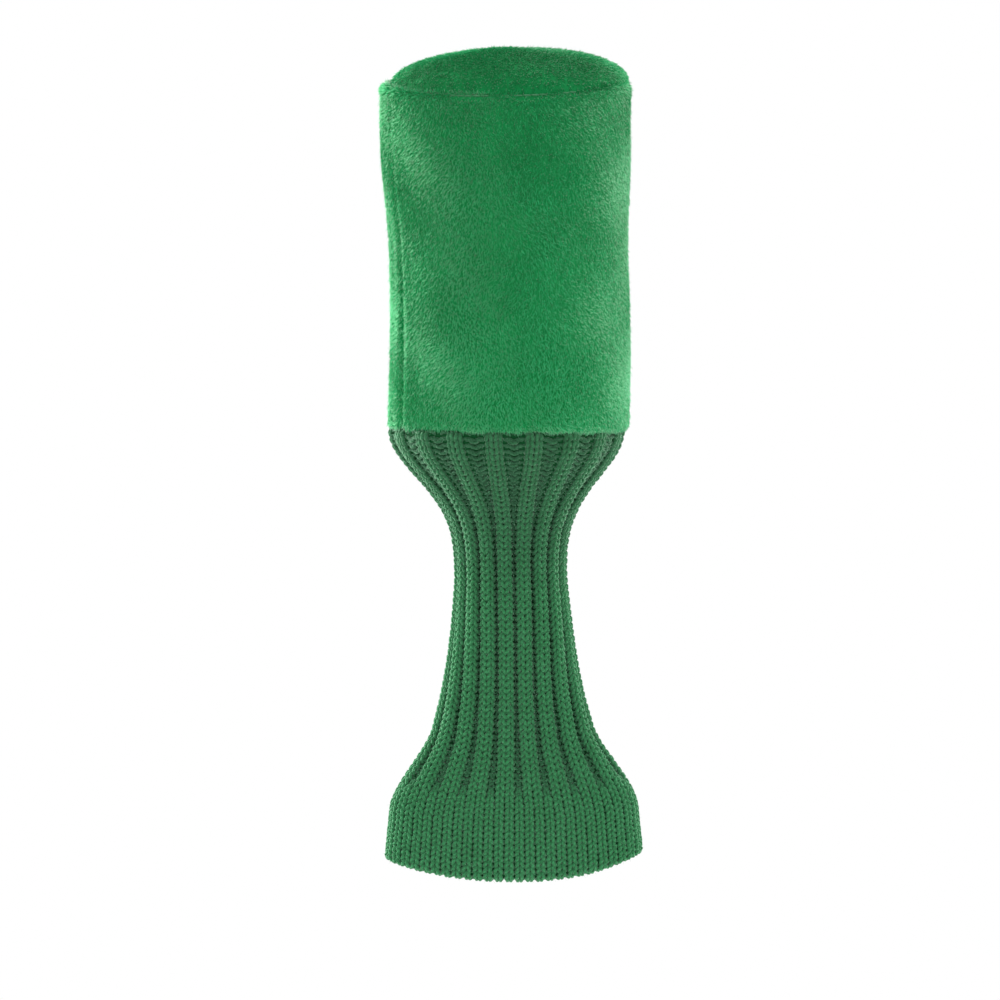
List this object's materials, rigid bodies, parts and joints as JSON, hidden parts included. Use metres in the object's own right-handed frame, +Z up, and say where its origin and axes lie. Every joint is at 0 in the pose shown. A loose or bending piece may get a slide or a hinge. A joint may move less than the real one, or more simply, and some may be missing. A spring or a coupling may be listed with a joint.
{
  "type": "driver head cover",
  "caption": "Padded plush barrel with a domed crown, sewn to a long ribbed knitted sock that narrows to a neck and flares to a turned-up cuff.",
  "frame": {"origin": "middle of the crown lining's underside, where the top of the club head rests in the barrel", "axes": "+Z up, from the sock's hem towards the crown; -Y is the front, +X to the right seen from the front; the hem is widest along X"},
  "size_m": [0.13, 0.1244, 0.416],
  "materials": {
    "plush_green": "short dense plush pile, brushed in patches",
    "knit_green": "chunky ribbed knit in a matte acrylic yarn",
    "wadding_white": "soft white polyester wadding",
    "lining_grey": "plain woven lining, slightly satin",
    "thread_green": "twisted polyester sewing thread"
  },
  "bodies": {
    "barrel": {"crown_panel": "plush_green", "side_panel": "plush_green", "crown_wadding": "wadding_white", "side_wadding": "wadding_white", "crown_lining": "lining_grey", "side_lining": "lining_grey", "crown_seam_thread": "thread_green", "side_seam_thread": "thread_green", "crown_lining_thread": "lining_grey", "side_lining_thread": "lining_grey", "neck_seam_thread": "thread_green", "sock_collar": "knit_green", "sock_shoulder": "knit_green"},
    "throat": {"sock_throat": "knit_green", "sock_upper_neck": "knit_green"},
    "waist": {"sock_waist": "knit_green", "sock_lower_neck": "knit_green"},
    "cuff": {"sock_skirt": "knit_green", "cuff": "knit_green", "cuff_hem_thread": "thread_green"}
  },
  "joints": [
    {"name": "sock_gather", "type": "slide", "parent": "barrel", "child": "throat", "axis": [0, 0, 1], "range_m": [-0.01, 0.025], "stiffness_N_per_m": 150, "springref_m": 0.0013, "deforming": ["sock_shoulder"]},
    {"name": "neck_bend_side", "type": "hinge", "parent": "throat", "child": "waist", "pos_m": [0, 0, -0.2564], "axis": [0, 1, 0], "range_deg": [-50, 50], "deforming": ["sock_upper_neck"]},
    {"name": "neck_bend_front", "type": "hinge", "parent": "waist", "child": "cuff", "pos_m": [0, 0, -0.3124], "axis": [1, 0, 0], "range_deg": [-50, 50], "deforming": ["sock_lower_neck"]}
  ]
}
